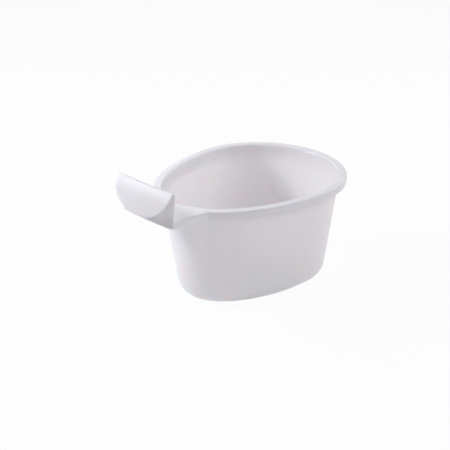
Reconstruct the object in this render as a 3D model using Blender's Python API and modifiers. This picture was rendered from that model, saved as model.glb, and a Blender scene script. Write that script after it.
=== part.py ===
"""Commode pan: an egg-shaped bowl, a flat skirted rim with a shelf, and a folded cup grip.

Metres, +Z up. The pan stands on Z = 0 with its long axis along X and the grip at -X.
"""

from math import acos
from math import cos
from math import pi
from math import radians
from math import sin
from math import sqrt

import bmesh
import bpy
from mathutils import Vector

# Rim, with lengths measured from the widest section of the egg
RIM_HALF_WIDTH = 0.105
RIM_FAR_LENGTH = 0.0988
RIM_NEAR_LENGTH = 0.1610
RIM_HEIGHT = 0.1372
RIM_EDGE_RADIUS = 0.0022
FLANGE_THICKNESS = 0.0025
SKIRT_HEIGHT = 0.0088
SKIRT_THICKNESS = 0.0023

# Bowl; the base shift is how far its floor stands towards the far end
WALL = 0.0023
WALL_INSET = 0.0094
WALL_DRAFT = radians(7.7)
BASE_SHIFT = 0.0037
BOTTOM_RADIUS = 0.0195
FOOT_WIDTH = 0.008
FOOT_RECESS = 0.0012
FOOT_STEP = 0.003

# Locating rib under the flange, just outside the top of the bowl
LOCATING_RIB_WIDTH = 0.0024
LOCATING_RIB_DEPTH = 0.0045

# Shelf that carries the grip
SHELF_ROOT_HALF_WIDTH = 0.0475
SHELF_END_HALF_WIDTH = 0.0416

# Folded grip; the bow is how far its middle stands out beyond its ends
BACK_WALL_X = -0.1901
GRIP_BOW = 0.0020
GRIP_HALF_WIDTH = 0.0456
GRIP_HEIGHT = 0.1733
GRIP_WALL = 0.0022
FOLD_RADIUS = 0.0026
VISOR_RADIUS = 0.0525
VISOR_LEAN = radians(39.9)
VISOR_DROP = 0.0346
VISOR_TIP_HALF_WIDTH = 0.007

# Clearance between neighbouring pieces
SEAM = 0.0003

# Facets
EGG_POINTS = 96
EDGE_STEPS = 4
BOTTOM_STEPS = 7
SHELF_SIDE_STEPS = 4
FOLD_STEPS = 8
VISOR_STEPS = 12
GRIP_COLUMNS = 16

# Heights and insets that follow from the sizes above
FLANGE_UNDERSIDE = RIM_HEIGHT - FLANGE_THICKNESS
SKIRT_BOTTOM = RIM_HEIGHT - SKIRT_HEIGHT
FLANGE_WIDTH = WALL_INSET + WALL * cos(WALL_DRAFT)
RIB_INNER_INSET = WALL_INSET - SEAM
RIB_OUTER_INSET = RIB_INNER_INSET - LOCATING_RIB_WIDTH
BACK_WALL_MIDDLE_X = BACK_WALL_X - GRIP_BOW


def make_material(name, colour, roughness):
    material = bpy.data.materials.new(name)
    material.use_nodes = True
    shader = material.node_tree.nodes["Principled BSDF"]
    shader.inputs["Base Color"].default_value = (*colour, 1.0)
    shader.inputs["Roughness"].default_value = roughness
    shader.inputs["Metallic"].default_value = 0.0
    return material


def arc(centre, radius, start, end, steps):
    """Points of an arc in a section plane, both ends included."""
    turns = [start + (end - start) * step / steps for step in range(steps + 1)]
    return [(centre[0] + radius * cos(turn), centre[1] + radius * sin(turn)) for turn in turns]


def egg_outline():
    """Outer edge of the rim: two half ellipses that share one width, counter-clockwise from +X."""
    points = []
    for step in range(EGG_POINTS):
        turn = 2 * pi * step / EGG_POINTS
        length = RIM_FAR_LENGTH if cos(turn) > 0 else RIM_NEAR_LENGTH
        points.append(Vector((length * cos(turn), RIM_HALF_WIDTH * sin(turn))))
    return points


def inset_outline(points, distance):
    """A closed outline moved inward by one distance all round, with mitred corners."""
    moved = []
    for index, point in enumerate(points):
        before = (point - points[index - 1]).normalized()
        after = (points[(index + 1) % len(points)] - point).normalized()
        normal_before = Vector((-before.y, before.x))
        normal_after = Vector((-after.y, after.x))
        mitre = (normal_before + normal_after).normalized()
        moved.append(point + mitre * (distance / mitre.dot(normal_before)))
    return moved


def bowl_row(egg, inset, z, top):
    """One level of the bowl, inset from the egg and carried towards the far end as it goes down."""
    shift = BASE_SHIFT * (1 - z / top)
    return [Vector((p.x + shift, p.y, z)) for p in inset_outline(egg, inset)]


def bow_at(y):
    """How far the bowed grip falls back from its middle at a distance y from the centre line."""
    return GRIP_BOW * (y / GRIP_HALF_WIDTH) ** 2


def shelf_end(y):
    """A point on the end of the shelf, one seam away from the bowed back wall."""
    return Vector((BACK_WALL_MIDDLE_X + bow_at(y) + SEAM, y))


def rim_outline():
    """The egg with the shelf grown out of its narrow end, on the same number of points."""
    points = egg_outline()
    covered = [i for i, p in enumerate(points) if p.x < 0 and abs(p.y) < SHELF_ROOT_HALF_WIDTH]
    first = covered[0] - 1
    last = covered[-1] + 1
    root_x = -RIM_NEAR_LENGTH * sqrt(1 - (SHELF_ROOT_HALF_WIDTH / RIM_HALF_WIDTH) ** 2)
    root = Vector((root_x, SHELF_ROOT_HALF_WIDTH))
    corner = shelf_end(SHELF_END_HALF_WIDTH)
    side = [root.lerp(corner, step / SHELF_SIDE_STEPS) for step in range(SHELF_SIDE_STEPS + 1)]
    end_steps = last - first - 2 * SHELF_SIDE_STEPS
    shelf = list(side)
    for step in range(1, end_steps):
        shelf.append(shelf_end(SHELF_END_HALF_WIDTH * (1 - 2 * step / end_steps)))
    shelf.extend(Vector((p.x, -p.y)) for p in reversed(side))
    points[first:last + 1] = shelf
    return points


def at_height(outline, z):
    return [Vector((p.x, p.y, z)) for p in outline]


def row_edges(bm, verts, closed):
    """The edges that join a row of vertices, made where they do not exist yet."""
    pairs = list(zip(verts, verts[1:]))
    if closed:
        pairs.append((verts[-1], verts[0]))
    return [bm.edges.get(pair) or bm.edges.new(pair) for pair in pairs]


def loft(bm, rows, closed):
    """Extrude the first row of points through all the others; returns the rows of vertices."""
    verts = [bm.verts.new(point) for point in rows[0]]
    made = [verts]
    for row in rows[1:]:
        geometry = bmesh.ops.extrude_edge_only(bm, edges=row_edges(bm, verts, closed))["geom"]
        fresh = {item for item in geometry if isinstance(item, bmesh.types.BMVert)}
        moved = []
        for vert, point in zip(verts, row):
            partner = next(e.other_vert(vert) for e in vert.link_edges if e.other_vert(vert) in fresh)
            partner.co = point
            moved.append(partner)
        verts = moved
        made.append(verts)
    return made


def bowl_surface(bm):
    """Outside of the bowl: recessed floor, foot, rounded bottom edge and drafted wall."""
    egg = egg_outline()
    top = FLANGE_UNDERSIDE - SEAM - WALL * sin(WALL_DRAFT)
    inset_at_radius = WALL_INSET + (top - BOTTOM_RADIUS) * sin(WALL_DRAFT) / cos(WALL_DRAFT)
    foot_outer = inset_at_radius + BOTTOM_RADIUS / cos(WALL_DRAFT)
    foot_inner = foot_outer + FOOT_WIDTH
    section = [(foot_inner + FOOT_STEP, FOOT_RECESS), (foot_inner, 0.0)]
    section += arc((foot_outer, BOTTOM_RADIUS), BOTTOM_RADIUS, -pi / 2, -pi + WALL_DRAFT, BOTTOM_STEPS)
    section.append((WALL_INSET, top))
    rows = loft(bm, [bowl_row(egg, inset, z, top) for inset, z in section], closed=True)
    bm.faces.new(rows[0])


def rim_surface(bm):
    """Closed section of the rim, carried round the mouth and out along the shelf."""
    egg = egg_outline()
    outer = rim_outline()
    lip = (FLANGE_WIDTH - FLANGE_THICKNESS, FLANGE_UNDERSIDE)
    lip_section = arc(lip, FLANGE_THICKNESS, 0, pi / 2, EDGE_STEPS)
    edge = (RIM_EDGE_RADIUS, RIM_HEIGHT - RIM_EDGE_RADIUS)
    outer_section = arc(edge, RIM_EDGE_RADIUS, pi / 2, pi, EDGE_STEPS)
    outer_section.append((0.0, SKIRT_BOTTOM))
    outer_section.append((SKIRT_THICKNESS, SKIRT_BOTTOM))
    outer_section.append((SKIRT_THICKNESS, FLANGE_UNDERSIDE))
    rib_bottom = FLANGE_UNDERSIDE - LOCATING_RIB_DEPTH
    rib_section = [(RIB_OUTER_INSET, FLANGE_UNDERSIDE), (RIB_OUTER_INSET, rib_bottom)]
    rib_section += [(RIB_INNER_INSET, rib_bottom), (RIB_INNER_INSET, FLANGE_UNDERSIDE)]
    rows = [at_height(inset_outline(egg, inset), z) for inset, z in lip_section]
    rows += [at_height(inset_outline(outer, inset), z) for inset, z in outer_section]
    rows += [at_height(inset_outline(egg, inset), z) for inset, z in rib_section]
    made = loft(bm, rows, closed=True)
    seam_edges = row_edges(bm, made[0], True) + row_edges(bm, made[-1], True)
    bmesh.ops.bridge_loops(bm, edges=seam_edges)


def grip_section():
    """Rows of the grip on its centre line as (x, z, half width), from the foot over the fold."""
    fold_z = GRIP_HEIGHT - FOLD_RADIUS
    fold_x = BACK_WALL_MIDDLE_X - FOLD_RADIUS
    rows = [(BACK_WALL_MIDDLE_X, SKIRT_BOTTOM, SHELF_END_HALF_WIDTH)]
    fold = arc((fold_x, fold_z), FOLD_RADIUS, 0, pi - VISOR_LEAN, FOLD_STEPS)
    rows += [(x, z, GRIP_HALF_WIDTH) for x, z in fold]
    visor_x = fold[-1][0] + VISOR_RADIUS * cos(VISOR_LEAN)
    visor_z = fold[-1][1] - VISOR_RADIUS * sin(VISOR_LEAN)
    start = acos(sqrt(1 - ((GRIP_HEIGHT - fold[-1][1]) / VISOR_DROP) ** 2))
    end = acos(VISOR_TIP_HALF_WIDTH / GRIP_HALF_WIDTH)
    for step in range(1, VISOR_STEPS + 1):
        turn = start + (end - start) * step / VISOR_STEPS
        z = GRIP_HEIGHT - VISOR_DROP * sin(turn)
        x = visor_x - sqrt(VISOR_RADIUS ** 2 - (z - visor_z) ** 2)
        rows.append((x, z, GRIP_HALF_WIDTH * cos(turn)))
    return rows


def grip_surface(bm):
    """Outer skin of the folded sheet: back wall, rounded ridge and half-round visor, all bowed."""
    rows = []
    for x, z, half_width in grip_section():
        across = [half_width * (2 * column / GRIP_COLUMNS - 1) for column in range(GRIP_COLUMNS + 1)]
        rows.append([Vector((x + bow_at(y), y, z)) for y in across])
    loft(bm, rows, closed=False)


def box_middle_x():
    """Middle of the whole pan along X, from the far rim to the tip of the visor."""
    return (RIM_FAR_LENGTH + grip_section()[-1][0]) / 2


def make_piece(name, surface, material, collection, wall):
    """Build one piece, put it in the shared frame and thicken it if it is a sheet."""
    bm = bmesh.new()
    surface(bm)
    bmesh.ops.translate(bm, verts=bm.verts, vec=(-box_middle_x(), 0.0, 0.0))
    bmesh.ops.recalc_face_normals(bm, faces=bm.faces)
    mesh = bpy.data.meshes.new(name)
    bm.to_mesh(mesh)
    bm.free()
    piece = bpy.data.objects.new(name, mesh)
    collection.objects.link(piece)
    mesh.materials.append(material)
    mesh.shade_smooth()
    mesh.set_sharp_from_angle(angle=radians(35))
    if wall:
        sheet = piece.modifiers.new("wall", "SOLIDIFY")
        sheet.thickness = wall
        sheet.offset = -1.0
        sheet.use_even_offset = True
        sheet.use_quality_normals = True
    return piece


def build():
    for leftover in list(bpy.data.objects):
        bpy.data.objects.remove(leftover)
    collection = bpy.data.collections.new("bedpan")
    bpy.context.scene.collection.children.link(collection)
    white = (0.76, 0.755, 0.78)
    make_piece("bowl", bowl_surface, make_material("bowl_plastic", white, 0.42), collection, WALL)
    make_piece("rim", rim_surface, make_material("rim_plastic", white, 0.38), collection, 0.0)
    make_piece("grip", grip_surface, make_material("grip_plastic", white, 0.38), collection, GRIP_WALL)


build()
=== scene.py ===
"""White commode pan: moulded bowl, skirted rim with its shelf, and the folded cup grip.

Metres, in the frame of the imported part: +X away from the grip, +Z up, the foot of the pan at Z = 0.
"""

from collections import namedtuple
from math import cos
from math import pi
from math import radians
from math import sin
from math import sqrt
from math import tan

import bmesh
import bpy
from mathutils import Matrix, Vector


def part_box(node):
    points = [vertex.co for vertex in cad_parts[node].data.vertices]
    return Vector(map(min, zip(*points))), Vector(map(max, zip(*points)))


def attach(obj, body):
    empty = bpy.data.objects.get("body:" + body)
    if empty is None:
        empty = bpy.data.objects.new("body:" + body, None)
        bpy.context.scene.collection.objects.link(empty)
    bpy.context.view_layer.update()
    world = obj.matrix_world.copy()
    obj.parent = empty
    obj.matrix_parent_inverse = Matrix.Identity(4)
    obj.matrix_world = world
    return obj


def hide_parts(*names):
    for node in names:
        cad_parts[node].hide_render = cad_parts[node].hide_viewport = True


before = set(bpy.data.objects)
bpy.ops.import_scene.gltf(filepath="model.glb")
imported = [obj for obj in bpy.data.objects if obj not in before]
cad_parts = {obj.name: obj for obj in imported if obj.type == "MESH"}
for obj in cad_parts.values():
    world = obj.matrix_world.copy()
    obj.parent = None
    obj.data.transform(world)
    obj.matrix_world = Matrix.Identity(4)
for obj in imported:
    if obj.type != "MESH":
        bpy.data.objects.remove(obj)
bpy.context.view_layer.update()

# Rim and mouth; lengths are measured from the widest section of the egg
RIM_HALF_WIDTH = 0.105
RIM_FAR_LENGTH = 0.0988
RIM_NEAR_LENGTH = 0.1610
RIM_HEIGHT = 0.1372
RIM_WALL = 0.0021
RIM_EDGE_RADIUS = 0.0022
LIP_RADIUS = 0.0023
LIP_RISE = 0.0028
FOLD_SEGMENTS = 6
SKIRT_HEIGHT = 0.0088
SKIRT_EDGE_RADIUS = 0.00095
SKIRT_EDGE_SEGMENTS = 4

# Locating rib under the flange
RIB_OUTER_INSET = 0.0067
RIB_INNER_INSET = 0.00895
RIB_DEPTH = 0.0049
RIB_SLOT = 1

# Bowl; the base shift is how far its floor stands towards the far end
WALL = 0.0023
WALL_INSET = 0.0094
WALL_DRAFT = radians(7.7)
WALL_STEPS = 7
BASE_SHIFT = 0.0037
BOTTOM_RADIUS = 0.0195
BOTTOM_STEPS = 12
FOOT_WIDTH = 0.008
FOOT_RECESS = 0.0012
FOOT_STEP = 0.003
# Shares of the step's width and of the recess, on the soft step from the foot to the floor
FOOT_CURVE = ((0.3, 0.12), (0.7, 0.88), (1.0, 1.0))

# Shelf; the gap keeps its end off the back wall of the grip
SHELF_ROOT_TURN = radians(27)
SHELF_END_HALF_WIDTH = 0.0416
SHELF_END_GAP = 0.00003

# Folded grip; its back wall is placed from the widest section of the egg, and the bow is how far its
# middle stands out beyond its ends
BACK_WALL_DISTANCE = 0.1901
GRIP_BOW = 0.0020
GRIP_HALF_WIDTH = 0.0456
GRIP_HEIGHT = 0.1733
GRIP_WALL = 0.0022
GRIP_COLUMNS = 16
GRIP_SUBDIVISIONS = 2
RIDGE_RADIUS = 0.0026
RIDGE_STEPS = 8
VISOR_RADIUS = 0.0525
VISOR_LEAN = radians(39.9)
VISOR_DROP = 0.0346
VISOR_STEPS = 9
EDGE_CROWDING = 1.6
# Shares of the back wall's height that carry a row; the low second one keeps its foot crisp
BACK_WALL_ROWS = (0.0, 0.038, 0.2, 0.5, 0.8)

# A vertex of the egg falls on each root of the shelf with this count
EGG_VERTS = 200

# Walls grow inward from their skin, folds are round, and edges sharper than this angle stay crisp
INWARD = -1.0
ROUND_PROFILE = 0.5
SHARP_ANGLE = radians(35)

# What counts as the same place, a near one, an upright face and one that faces down
SAME_PLACE = 1e-5
NEAR_PLACE = 1e-4
UPRIGHT_NORMAL_Z = 0.5
DOWNWARD_NORMAL_Z = -0.9

# Places that follow from the frame and the sizes above; the egg is widest at EGG_X
EGG_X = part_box("rim")[1].x - RIM_FAR_LENGTH
LIP_BOTTOM = RIM_HEIGHT - LIP_RISE
LIP_INSET = WALL_INSET + WALL * cos(WALL_DRAFT)
FLANGE_WIDTH = LIP_INSET - LIP_RISE * tan(WALL_DRAFT)
WALL_TOP = LIP_BOTTOM - WALL * sin(WALL_DRAFT)
SKIRT_BOTTOM = RIM_HEIGHT - SKIRT_HEIGHT
BACK_WALL_MIDDLE_X = EGG_X - BACK_WALL_DISTANCE - GRIP_BOW
SHELF_ROOT_HALF_WIDTH = RIM_HALF_WIDTH * sin(SHELF_ROOT_TURN)

# Finishes of one plastic, whose tones also hold painted light from part to part: tones and roughness run
# from low to high, depths are in metres
Finish = namedtuple("Finish", "tones roughness grain_depth glow_depth glow_colour")
# The bowl is the same plastic as the rim and the grip. Its tones are a little pinker: partly the plastic's
# own tint, partly painted light, the pink of light coming through the wall into the bowl.
BOWL_FINISH_AND_PAINTED_PINK = Finish(
    tones=((0.954, 0.939, 0.944, 1.0), (0.966, 0.951, 0.956, 1.0)),
    roughness=(0.31, 0.37),
    grain_depth=0.00004,
    glow_depth=0.0043,
    glow_colour=(1.0, 0.7, 0.62),
)
# The rim is the same plastic as the bowl. Its tones are darker than the bowl's as painted shade, chiefly for
# the shade the grip casts on the shelf.
RIM_FINISH_AND_PAINTED_SHADE = Finish(
    tones=((0.920, 0.924, 0.928, 1.0), (0.932, 0.936, 0.940, 1.0)),
    roughness=(0.15, 0.20),
    grain_depth=0.00001,
    glow_depth=0.0,
    glow_colour=(1.0, 1.0, 1.0),
)
# The grip is the same plastic as the bowl. Its tones are bluer than the bowl's as painted light, the cool
# cast on the lit visor.
GRIP_FINISH_AND_PAINTED_COOL_LIGHT = Finish(
    tones=((0.954, 0.948, 0.965, 1.0), (0.966, 0.960, 0.977, 1.0)),
    roughness=(0.42, 0.47),
    grain_depth=0.00001,
    glow_depth=0.0022,
    glow_colour=(1.0, 1.0, 1.0),
)
PLASTIC_IOR = 1.49
GRAIN_STRENGTH = 0.25

# Layers of the grain: output, scale input, scale, detail and stretch
GRAIN_LAYERS = (
    ("Height", "Grain Scale", 2600.0, 2.0, (1.0, 1.0, 1.0)),
    ("Clouds", "Cloud Scale", 22.0, 3.0, (1.0, 1.0, 1.0)),
    ("Draw Marks", "Draw Scale", 420.0, 2.0, (1.0, 1.0, 0.03)),
)

# Between these heights the glow of the bowl fades to this depth
GLOW_FADE = (0.112, 0.131)
GLOW_AT_RIM = 0.0005

# Camera
AIM = Vector((EGG_X - 0.0351, 0.03498, 0.05967))
CAMERA_AZIMUTH = radians(-44.902)
CAMERA_ELEVATION = radians(24.573)
CAMERA_DISTANCE = 1.2
LENS = 74.612
SENSOR_WIDTH = 36.0

# Softboxes: name, azimuth from the camera and elevation in degrees, size, power in watts
SOFTBOXES = (
    ("left_softbox", -92, 34, 0.35, 12.9),
    ("back_left_softbox", -150, 40, 1.4, 3.3),
    ("back_right_softbox", 135, 45, 1.2, 6.35),
    ("front_softbox", 30, 32, 1.2, 4.5),
    ("right_softbox", 90, 32, 1.2, 3.9),
)
SOFTBOX_DISTANCE = 1.5
LAMP_COLOUR = (0.955, 0.926, 0.994)

# Studio; the horizon's glow fades out where the Z of a direction reaches HORIZON_TOP, and the floor lies a
# hair under the foot, so that the two don't share a plane
WHITE = (1.0, 1.0, 1.0, 1.0)
HORIZON_GLOW = 0.465
HORIZON_TOP = 0.7
FLOOR_SIZE = 8
FLOOR_CLEARANCE = 0.0002
FLOOR_COLOUR = (0.92, 0.92, 0.92, 1.0)
FLOOR_ROUGHNESS = 0.9
FLOOR_GLOW = 0.95


def pick_object(piece):
    bpy.ops.object.select_all(action="DESELECT")
    piece.select_set(True)
    bpy.context.view_layer.objects.active = piece


def edit_piece(piece):
    pick_object(piece)
    bpy.ops.object.mode_set(mode="EDIT")


def done_editing():
    bpy.ops.object.mode_set(mode="OBJECT")


def pick(piece, kind, test):
    """Select the vertices, edges or faces of the piece in edit mode that pass a test."""
    bpy.ops.mesh.select_mode(type=kind)
    bpy.ops.mesh.select_all(action="DESELECT")
    bm = bmesh.from_edit_mesh(piece.data)
    for part in {"VERT": bm.verts, "EDGE": bm.edges, "FACE": bm.faces}[kind]:
        part.select_set(test(part))
    bm.select_flush_mode()
    bmesh.update_edit_mesh(piece.data)


def pick_all(kind):
    bpy.ops.mesh.select_mode(type=kind)
    bpy.ops.mesh.select_all(action="SELECT")


def is_level(edge, height):
    return all(abs(vert.co.z - height) < SAME_PLACE for vert in edge.verts)


def is_upright(face):
    return abs(face.normal.z) < UPRIGHT_NORMAL_Z


def is_quad(face):
    return len(face.verts) == 4


def pull_down(depth):
    bpy.ops.mesh.extrude_region_move(TRANSFORM_OT_translate={"value": (0, 0, -depth)})


def round_edges(radius, segments):
    bpy.ops.mesh.bevel(
        offset=radius, offset_type="OFFSET", segments=segments, profile=ROUND_PROFILE, affect="EDGES")


def apply_modifier(piece, kind, **settings):
    pick_object(piece)
    modifier = piece.modifiers.new(kind.lower(), kind)
    for name, value in settings.items():
        setattr(modifier, name, value)
    bpy.ops.object.modifier_apply(modifier=modifier.name)


def add_egg(name, height):
    """A filled circle as wide as the rim, its two halves stretched into the egg; left in edit mode."""
    bpy.ops.object.select_all(action="DESELECT")
    centre = (EGG_X, 0.0, height)
    quarter_turn_back = (0, 0, -pi / 2)
    bpy.ops.mesh.primitive_circle_add(
        vertices=EGG_VERTS, radius=RIM_HALF_WIDTH, fill_type="NGON", location=centre,
        rotation=quarter_turn_back)
    piece = bpy.context.active_object
    piece.name = name
    bpy.ops.object.transform_apply(location=True, rotation=True, scale=True)
    edit_piece(piece)
    pick(piece, "VERT", lambda vert: vert.co.x > EGG_X + SAME_PLACE)
    bpy.ops.transform.resize(value=(RIM_FAR_LENGTH / RIM_HALF_WIDTH, 1, 1), center_override=centre)
    pick(piece, "VERT", lambda vert: vert.co.x < EGG_X - SAME_PLACE)
    bpy.ops.transform.resize(value=(RIM_NEAR_LENGTH / RIM_HALF_WIDTH, 1, 1), center_override=centre)
    pick_all("FACE")
    return piece


def bowl_steps():
    """Pairs of (inset, height) down the outside of the bowl, from under the rim to the floor."""
    slope = tan(WALL_DRAFT)
    bend_top = BOTTOM_RADIUS * (1 - sin(WALL_DRAFT))
    foot_outer = WALL_INSET + (WALL_TOP - BOTTOM_RADIUS) * slope + BOTTOM_RADIUS / cos(WALL_DRAFT)
    foot_inner = foot_outer + FOOT_WIDTH
    steps = []
    for step in range(1, WALL_STEPS):
        height = WALL_TOP + (bend_top - WALL_TOP) * step / WALL_STEPS
        steps.append((WALL_INSET + (WALL_TOP - height) * slope, height))
    for step in range(BOTTOM_STEPS + 1):
        turn = -pi + WALL_DRAFT + (pi / 2 - WALL_DRAFT) * step / BOTTOM_STEPS
        steps.append((foot_outer + BOTTOM_RADIUS * cos(turn), BOTTOM_RADIUS + BOTTOM_RADIUS * sin(turn)))
    steps.append((foot_inner, 0.0))
    for along, up in FOOT_CURVE:
        steps.append((foot_inner + FOOT_STEP * along, FOOT_RECESS * up))
    return steps


def make_bowl():
    """Inset an egg face downward step by step, then give the skin its wall."""
    piece = add_egg("pan_bowl", WALL_TOP)
    bpy.ops.mesh.flip_normals()
    bpy.ops.mesh.inset(thickness=WALL_INSET, depth=0.0, use_even_offset=True)
    bpy.ops.mesh.select_all(action="INVERT")
    bpy.ops.mesh.delete(type="FACE")
    bpy.ops.mesh.select_all(action="SELECT")
    inset, height = WALL_INSET, WALL_TOP
    for next_inset, next_height in bowl_steps():
        drop = height - next_height
        bpy.ops.mesh.inset(
            thickness=next_inset - inset, depth=drop, use_even_offset=True, use_boundary=True)
        bpy.ops.transform.translate(value=(BASE_SHIFT * drop / WALL_TOP, 0, 0))
        inset, height = next_inset, next_height
    done_editing()
    apply_modifier(
        piece, "SOLIDIFY", thickness=WALL, offset=INWARD, use_even_offset=True, use_quality_normals=True)
    return piece


def bow_at(y):
    """How far the bowed grip falls back from its middle at a distance y from the centre line."""
    return GRIP_BOW * (y / GRIP_HALF_WIDTH) ** 2


def shelf_end_x(y):
    return BACK_WALL_MIDDLE_X + bow_at(y) + SHELF_END_GAP


def is_shelf_end(edge):
    return all(abs(vert.co.x - shelf_end_x(vert.co.y)) < SAME_PLACE for vert in edge.verts)


def mark_rib(piece):
    """Put the selected ring of the flange in its own material slot, to find it again under the wall."""
    bm = bmesh.from_edit_mesh(piece.data)
    for face in bm.faces:
        if face.select and is_quad(face):
            face.material_index = RIB_SLOT
    bmesh.update_edit_mesh(piece.data)


def unmark_rib(piece):
    bm = bmesh.from_edit_mesh(piece.data)
    for face in bm.faces:
        face.material_index = 0
    bmesh.update_edit_mesh(piece.data)


def inset_flange(piece):
    """Rings of the flange from its outer edge to the lip, and the short wall of the lip."""
    bpy.ops.mesh.inset(thickness=RIB_OUTER_INSET, depth=0.0, use_even_offset=True)
    rib_width = RIB_INNER_INSET - RIB_OUTER_INSET
    bpy.ops.mesh.inset(thickness=rib_width, depth=0.0, use_even_offset=True, use_select_inset=True)
    mark_rib(piece)
    pick(piece, "FACE", lambda face: not is_quad(face))
    bpy.ops.mesh.inset(thickness=FLANGE_WIDTH - RIB_INNER_INSET, depth=0.0, use_even_offset=True)
    bpy.ops.mesh.inset(thickness=LIP_INSET - FLANGE_WIDTH, depth=-LIP_RISE, use_even_offset=True)
    bpy.ops.mesh.delete(type="FACE")


def pull_shelf(piece):
    """Extrude the rim's edge between the two roots of the shelf out to the bowed back wall."""
    def is_between_roots(vert):
        return vert.co.x < 0 and abs(vert.co.y) < SHELF_ROOT_HALF_WIDTH + NEAR_PLACE

    def is_root(edge):
        outer = edge.is_boundary and is_level(edge, RIM_HEIGHT)
        return outer and all(is_between_roots(vert) for vert in edge.verts)

    pick(piece, "EDGE", is_root)
    narrowing = SHELF_END_HALF_WIDTH / SHELF_ROOT_HALF_WIDTH
    bpy.ops.mesh.extrude_region_move()
    bpy.ops.transform.resize(value=(1, narrowing, 1), center_override=(0, 0, RIM_HEIGHT))
    bm = bmesh.from_edit_mesh(piece.data)
    for vert in bm.verts:
        if vert.select:
            vert.co.x = shelf_end_x(vert.co.y)
    bmesh.update_edit_mesh(piece.data)


def round_rim_folds(piece):
    """Bevel the lip of the mouth and the fold between flange and skirt."""
    def is_fold(edge):
        joined = len(edge.link_faces) == 2 and is_level(edge, RIM_HEIGHT)
        return joined and any(is_upright(face) for face in edge.link_faces)

    def is_lip_wall(face):
        return is_upright(face) and min(vert.co.z for vert in face.verts) > LIP_BOTTOM - NEAR_PLACE

    def is_lip(edge):
        return any(is_lip_wall(face) for face in edge.link_faces)

    pick(piece, "EDGE", lambda edge: is_fold(edge) and is_lip(edge))
    round_edges(LIP_RADIUS, FOLD_SEGMENTS)
    pick(piece, "EDGE", lambda edge: is_fold(edge) and not is_lip(edge) and not is_shelf_end(edge))
    round_edges(RIM_EDGE_RADIUS, FOLD_SEGMENTS)


def finish_rim_underside(piece):
    """Pull the locating rib down out of the flange and round the bottom of the skirt."""
    def is_rib_root(face):
        return face.material_index == RIB_SLOT and face.normal.z < DOWNWARD_NORMAL_Z

    def is_skirt_bottom(edge):
        joined = len(edge.link_faces) == 2 and is_level(edge, SKIRT_BOTTOM)
        return joined and any(is_upright(face) for face in edge.link_faces)

    edit_piece(piece)
    pick(piece, "FACE", is_rib_root)
    pull_down(RIB_DEPTH)
    pick(piece, "EDGE", is_skirt_bottom)
    round_edges(SKIRT_EDGE_RADIUS, SKIRT_EDGE_SEGMENTS)
    unmark_rib(piece)
    done_editing()


def make_rim():
    """Flange round the mouth, with the shelf pulled out of its narrow end and the skirt turned down."""
    piece = add_egg("pan_rim", RIM_HEIGHT)
    inset_flange(piece)
    pull_shelf(piece)
    pick(piece, "EDGE", lambda edge: edge.is_boundary and is_level(edge, RIM_HEIGHT))
    pull_down(SKIRT_HEIGHT)
    round_rim_folds(piece)
    done_editing()
    apply_modifier(
        piece, "SOLIDIFY", thickness=RIM_WALL, offset=INWARD, use_even_offset=True, use_quality_normals=True)
    finish_rim_underside(piece)
    return piece


def crowd(part):
    """A share of the way from a middle to an edge, with the steps drawn together at the edge."""
    return 1 - max(0.0, 1 - part) ** EDGE_CROWDING


def grip_rows():
    """Rows of the sheet on its centre line as (x, z, half width), from its foot over the ridge."""
    ridge_z = GRIP_HEIGHT - RIDGE_RADIUS
    ridge_x = BACK_WALL_MIDDLE_X - RIDGE_RADIUS
    rows = []
    for part in BACK_WALL_ROWS:
        half_width = SHELF_END_HALF_WIDTH + (GRIP_HALF_WIDTH - SHELF_END_HALF_WIDTH) * part
        rows.append((BACK_WALL_MIDDLE_X, SKIRT_BOTTOM + (ridge_z - SKIRT_BOTTOM) * part, half_width))
    for step in range(RIDGE_STEPS + 1):
        turn = (pi - VISOR_LEAN) * step / RIDGE_STEPS
        x = ridge_x + RIDGE_RADIUS * cos(turn)
        z = ridge_z + RIDGE_RADIUS * sin(turn)
        rows.append((x, z, GRIP_HALF_WIDTH))
    return rows


def add_foot(foot):
    """The foot of the sheet: one edge of a grid, its points drawn together at both ends."""
    x, z, half_width = foot
    quarter_turn = (0, 0, pi / 2)
    bpy.ops.object.select_all(action="DESELECT")
    bpy.ops.mesh.primitive_grid_add(
        x_subdivisions=GRIP_COLUMNS, y_subdivisions=1, size=2 * half_width, location=(x, 0, z),
        rotation=quarter_turn)
    piece = bpy.context.active_object
    piece.name = "pan_grip"
    bpy.ops.object.transform_apply(location=True, rotation=True, scale=True)
    edit_piece(piece)
    pick(piece, "VERT", lambda vert: vert.co.x < x)
    bpy.ops.mesh.delete(type="VERT")
    bm = bmesh.from_edit_mesh(piece.data)
    for vert in bm.verts:
        side = 1 if vert.co.y > 0 else -1
        vert.co.x = x
        vert.co.y = side * half_width * crowd(abs(vert.co.y) / half_width)
    bmesh.update_edit_mesh(piece.data)
    pick_all("EDGE")
    return piece


def raise_back_wall(rows):
    """Extrude the selected foot through the rows, up the back wall and over the ridge."""
    x, z, half_width = rows[0]
    for next_x, next_z, next_half_width in rows[1:]:
        bpy.ops.mesh.extrude_region_move(TRANSFORM_OT_translate={"value": (next_x - x, 0, next_z - z)})
        widening = (1, next_half_width / half_width, 1)
        bpy.ops.transform.resize(value=widening, center_override=(next_x, 0, next_z))
        x, z, half_width = next_x, next_z, next_half_width


def shape_visor(vert, root, along):
    """Lay a point of the sheet into the half-round visor: along runs from its root to its tip."""
    root_x, root_z, _ = root
    across = vert.co.y / GRIP_HALF_WIDTH
    root_drop = (GRIP_HEIGHT - root_z) / VISOR_DROP
    drop = root_drop + (1 - root_drop) * along * sqrt(1 - across ** 2 / 2)
    centre_x = root_x + VISOR_RADIUS * cos(VISOR_LEAN)
    centre_z = root_z - VISOR_RADIUS * sin(VISOR_LEAN)
    z = GRIP_HEIGHT - VISOR_DROP * drop
    vert.co.x = centre_x - sqrt(VISOR_RADIUS ** 2 - (z - centre_z) ** 2)
    vert.co.y = GRIP_HALF_WIDTH * across * sqrt(1 - along ** 2 / 2)
    vert.co.z = z


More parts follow.
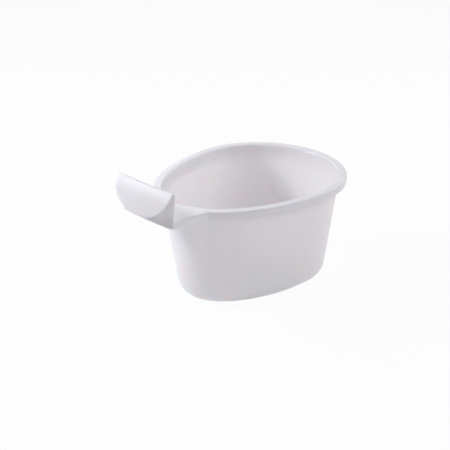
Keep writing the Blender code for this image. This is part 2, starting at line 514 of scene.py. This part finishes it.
def pull_visor(piece, root):
    """Extrude the selected edge of the ridge step by step into the visor."""
    for step in range(1, VISOR_STEPS + 1):
        bpy.ops.mesh.extrude_region_move()
        bm = bmesh.from_edit_mesh(piece.data)
        columns = sorted((vert.co.y, vert.index) for vert in bm.verts if vert.select)
        bm.verts.ensure_lookup_table()
        for number, (_, index) in enumerate(columns):
            side = 2 * number / GRIP_COLUMNS - 1
            vert = bm.verts[index]
            vert.co.y = GRIP_HALF_WIDTH * crowd(abs(side)) * (1 if side > 0 else -1)
            shape_visor(vert, root, crowd(step / VISOR_STEPS))
        bmesh.update_edit_mesh(piece.data)


def bow_sheet(piece):
    bm = bmesh.from_edit_mesh(piece.data)
    for vert in bm.verts:
        vert.co.x += bow_at(vert.co.y)
    bmesh.update_edit_mesh(piece.data)


def face_shelf(piece):
    """Turn the faces of the sheet so that its back wall faces the shelf."""
    pick_all("FACE")
    bpy.ops.mesh.normals_make_consistent(inside=False)
    foot = min(bmesh.from_edit_mesh(piece.data).faces, key=lambda face: face.calc_center_median().z)
    if foot.normal.x < 0:
        bpy.ops.mesh.flip_normals()


def make_grip():
    """Raise a sheet over the ridge and out into the visor, then bow, thicken and soften it."""
    rows = grip_rows()
    piece = add_foot(rows[0])
    raise_back_wall(rows)
    pull_visor(piece, rows[-1])
    bow_sheet(piece)
    face_shelf(piece)
    done_editing()
    apply_modifier(piece, "SOLIDIFY", thickness=GRIP_WALL, offset=INWARD, use_even_offset=True)
    apply_modifier(piece, "SUBSURF", levels=GRIP_SUBDIVISIONS, render_levels=GRIP_SUBDIVISIONS)
    return piece


def new_node(tree, kind, place, **settings):
    node = tree.nodes.new(kind)
    node.location = place
    for name, value in settings.items():
        setattr(node, name, value)
    return node


def moulded_grain_group():
    """Fine grain, faint clouding and upright draw marks of a satin moulding."""
    group = bpy.data.node_groups.new("moulded_grain", "ShaderNodeTree")
    sockets = group.interface
    for output, scale_name, scale, _, _ in GRAIN_LAYERS:
        sockets.new_socket(scale_name, in_out="INPUT", socket_type="NodeSocketFloat").default_value = scale
        sockets.new_socket(output, in_out="OUTPUT", socket_type="NodeSocketFloat")
    inside = new_node(group, "NodeGroupInput", (-900, 0))
    outside = new_node(group, "NodeGroupOutput", (300, 0))
    place = new_node(group, "ShaderNodeTexCoord", (-900, 300))
    for row, (output, scale_name, _, detail, stretch) in enumerate(GRAIN_LAYERS):
        mapping = new_node(group, "ShaderNodeMapping", (-600, 400 - 400 * row))
        mapping.inputs["Scale"].default_value = stretch
        noise = new_node(group, "ShaderNodeTexNoise", (-300, 400 - 400 * row))
        noise.inputs["Detail"].default_value = detail
        group.links.new(place.outputs["Object"], mapping.inputs["Vector"])
        group.links.new(mapping.outputs["Vector"], noise.inputs["Vector"])
        group.links.new(inside.outputs[scale_name], noise.inputs["Scale"])
        group.links.new(noise.outputs["Fac"], outside.inputs[output])
    return group


def satin_plastic(name, grain_group, finish):
    """White satin plastic that lets a little light through where its glow has depth."""
    material = bpy.data.materials.new(name)
    material.use_nodes = True
    tree = material.node_tree
    shader = tree.nodes["Principled BSDF"]
    shader.inputs["Subsurface Weight"].default_value = 1.0 if finish.glow_depth else 0.0
    shader.inputs["Subsurface Radius"].default_value = finish.glow_colour
    shader.inputs["Subsurface Scale"].default_value = finish.glow_depth
    shader.inputs["IOR"].default_value = PLASTIC_IOR

    grain = new_node(tree, "ShaderNodeGroup", (-900, 0), node_tree=grain_group)
    tone = new_node(tree, "ShaderNodeMix", (-400, 300), data_type="RGBA")
    tone.inputs["A"].default_value, tone.inputs["B"].default_value = finish.tones
    tree.links.new(grain.outputs["Clouds"], tone.inputs["Factor"])
    tree.links.new(tone.outputs["Result"], shader.inputs["Base Color"])

    gloss = new_node(tree, "ShaderNodeMapRange", (-400, 0))
    gloss.inputs["To Min"].default_value, gloss.inputs["To Max"].default_value = finish.roughness
    tree.links.new(grain.outputs["Draw Marks"], gloss.inputs["Value"])
    tree.links.new(gloss.outputs["Result"], shader.inputs["Roughness"])

    bump = new_node(tree, "ShaderNodeBump", (-400, -300))
    bump.inputs["Strength"].default_value = GRAIN_STRENGTH
    bump.inputs["Distance"].default_value = finish.grain_depth
    tree.links.new(grain.outputs["Height"], bump.inputs["Height"])
    tree.links.new(bump.outputs["Normal"], shader.inputs["Normal"])
    return material


def fade_glow_to_rim(material):
    """Let less light through the bowl towards its top, where it meets the rim."""
    tree = material.node_tree
    place = new_node(tree, "ShaderNodeTexCoord", (-900, -600))
    height = new_node(tree, "ShaderNodeSeparateXYZ", (-650, -600))
    fade = new_node(tree, "ShaderNodeMapRange", (-400, -600), interpolation_type="SMOOTHSTEP")
    fade.inputs["From Min"].default_value, fade.inputs["From Max"].default_value = GLOW_FADE
    fade.inputs["To Min"].default_value = BOWL_FINISH_AND_PAINTED_PINK.glow_depth
    fade.inputs["To Max"].default_value = GLOW_AT_RIM
    tree.links.new(place.outputs["Object"], height.inputs["Vector"])
    tree.links.new(height.outputs["Z"], fade.inputs["Value"])
    tree.links.new(fade.outputs["Result"], tree.nodes["Principled BSDF"].inputs["Subsurface Scale"])


def dress(piece, node, material):
    """Give a piece its finish, with the painted light in its tones, and put it in the place of its plain
    solid.
    """
    piece.data.materials.clear()
    piece.data.materials.append(material)
    pick_object(piece)
    bpy.ops.object.shade_smooth_by_angle(angle=SHARP_ANGLE)
    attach(piece, "root")
    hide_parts(node)


def aim_object(thing, azimuth, elevation, distance):
    """Put a camera or a lamp into the scene, looking at the pan from a distance."""
    back = Vector((sin(azimuth) * cos(elevation), -cos(azimuth) * cos(elevation), sin(elevation)))
    thing.location = AIM + back * distance
    thing.rotation_euler = back.to_track_quat("Z", "Y").to_euler()
    bpy.context.scene.collection.objects.link(thing)


def add_camera():
    camera_data = bpy.data.cameras.new("camera")
    camera_data.lens = LENS
    camera_data.sensor_width = SENSOR_WIDTH
    camera = bpy.data.objects.new("camera", camera_data)
    aim_object(camera, CAMERA_AZIMUTH, CAMERA_ELEVATION, CAMERA_DISTANCE)
    bpy.context.scene.camera = camera


def add_softbox(name, azimuth, elevation, size, power):
    lamp_data = bpy.data.lights.new(name, "AREA")
    lamp_data.shape = "SQUARE"
    lamp_data.size = size
    lamp_data.energy = power
    lamp_data.color = LAMP_COLOUR
    lamp = bpy.data.objects.new(name, lamp_data)
    aim_object(lamp, CAMERA_AZIMUTH + radians(azimuth), radians(elevation), SOFTBOX_DISTANCE)


def seen_white(tree):
    """A mask of the rays that see the studio itself: from the camera, in a gloss or through glass."""
    path = new_node(tree, "ShaderNodeLightPath", (-800, 500))
    seen = path.outputs["Is Camera Ray"]
    for number, ray in enumerate(("Is Glossy Ray", "Is Transmission Ray")):
        either = new_node(tree, "ShaderNodeMath", (200 * number - 600, 500), operation="MAXIMUM")
        tree.links.new(seen, either.inputs[0])
        tree.links.new(path.outputs[ray], either.inputs[1])
        seen = either.outputs[0]
    return seen


def studio_floor():
    """Pale floor, shown nearly white but keeping the shadow of the pan."""
    bpy.ops.object.select_all(action="DESELECT")
    bpy.ops.mesh.primitive_plane_add(size=FLOOR_SIZE, location=(0, 0, -FLOOR_CLEARANCE))
    floor = bpy.context.active_object
    floor.name = "floor"
    material = bpy.data.materials.new("floor_white")
    material.use_nodes = True
    tree = material.node_tree
    shader = tree.nodes["Principled BSDF"]
    shader.inputs["Base Color"].default_value = FLOOR_COLOUR
    shader.inputs["Roughness"].default_value = FLOOR_ROUGHNESS
    shader.inputs["Specular IOR Level"].default_value = 0.0
    share = new_node(tree, "ShaderNodeMath", (-200, 500), operation="MULTIPLY")
    share.inputs[1].default_value = FLOOR_GLOW
    glow = new_node(tree, "ShaderNodeEmission", (-200, 250))
    mix = new_node(tree, "ShaderNodeMixShader", (300, 300))
    tree.links.new(seen_white(tree), share.inputs[0])
    tree.links.new(share.outputs[0], mix.inputs[0])
    tree.links.new(shader.outputs[0], mix.inputs[1])
    tree.links.new(glow.outputs[0], mix.inputs[2])
    tree.links.new(mix.outputs[0], tree.nodes["Material Output"].inputs["Surface"])
    floor.data.materials.append(material)


def studio_world():
    """White where it is seen; as light on the pan, a soft glow from low around the horizon."""
    world = bpy.data.worlds.new("studio")
    bpy.context.scene.world = world
    world.use_nodes = True
    tree = world.node_tree
    ambient = tree.nodes["Background"]
    ambient.inputs["Color"].default_value = (*LAMP_COLOUR, 1.0)
    place = new_node(tree, "ShaderNodeTexCoord", (-800, 0))
    upward = new_node(tree, "ShaderNodeSeparateXYZ", (-600, 0))
    fade = new_node(tree, "ShaderNodeMapRange", (-400, 0))
    fade.inputs["From Max"].default_value = HORIZON_TOP
    fade.inputs["To Min"].default_value = HORIZON_GLOW
    fade.inputs["To Max"].default_value = 0.0
    tree.links.new(place.outputs["Generated"], upward.inputs["Vector"])
    tree.links.new(upward.outputs["Z"], fade.inputs["Value"])
    tree.links.new(fade.outputs["Result"], ambient.inputs["Strength"])
    white = new_node(tree, "ShaderNodeBackground", (0, -200))
    white.inputs["Color"].default_value = WHITE
    mix = new_node(tree, "ShaderNodeMixShader", (250, 100))
    tree.links.new(seen_white(tree), mix.inputs[0])
    tree.links.new(ambient.outputs[0], mix.inputs[1])
    tree.links.new(white.outputs[0], mix.inputs[2])
    tree.links.new(mix.outputs[0], tree.nodes["World Output"].inputs["Surface"])


add_camera()
for softbox in SOFTBOXES:
    add_softbox(*softbox)
studio_floor()
studio_world()
bpy.context.scene.view_settings.view_transform = "Standard"

grain_group = moulded_grain_group()
bowl_satin_painted_pink = satin_plastic("bowl_satin_painted_pink", grain_group, BOWL_FINISH_AND_PAINTED_PINK)
fade_glow_to_rim(bowl_satin_painted_pink)
dress(make_bowl(), "bowl", bowl_satin_painted_pink)
dress(make_rim(), "rim", satin_plastic("rim_satin_painted_shade", grain_group, RIM_FINISH_AND_PAINTED_SHADE))
dress(make_grip(), "grip", satin_plastic("grip_satin_painted_cool_light", grain_group, GRIP_FINISH_AND_PAINTED_COOL_LIGHT))
